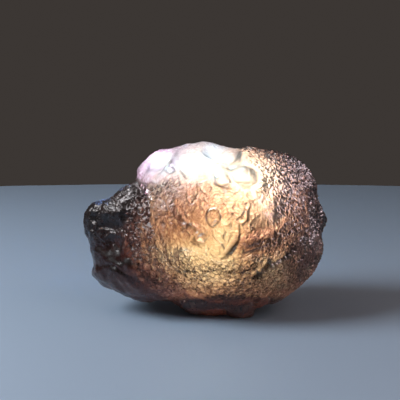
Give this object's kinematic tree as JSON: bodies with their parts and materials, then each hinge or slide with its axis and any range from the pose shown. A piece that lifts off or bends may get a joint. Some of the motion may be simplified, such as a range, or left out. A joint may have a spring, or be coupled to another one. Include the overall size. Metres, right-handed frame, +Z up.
{
  "type": "tektite",
  "caption": "Lumpy, pitted piece of translucent brown natural glass with a rounded main lobe, a flatter side wing and a short foot that it stands on.",
  "frame": {"origin": "middle of the stone's box, at the level of the flat of its foot", "axes": "+X along the width, towards the end away from the wing; +Y towards the back; +Z up"},
  "size_m": [0.0526, 0.0312, 0.0362],
  "materials": {
    "tektite_glass": "pitted, half-gloss translucent brown glass, paler where it is thin"
  },
  "bodies": {
    "root": {"tektite": "tektite_glass"}
  },
  "joints": []
}
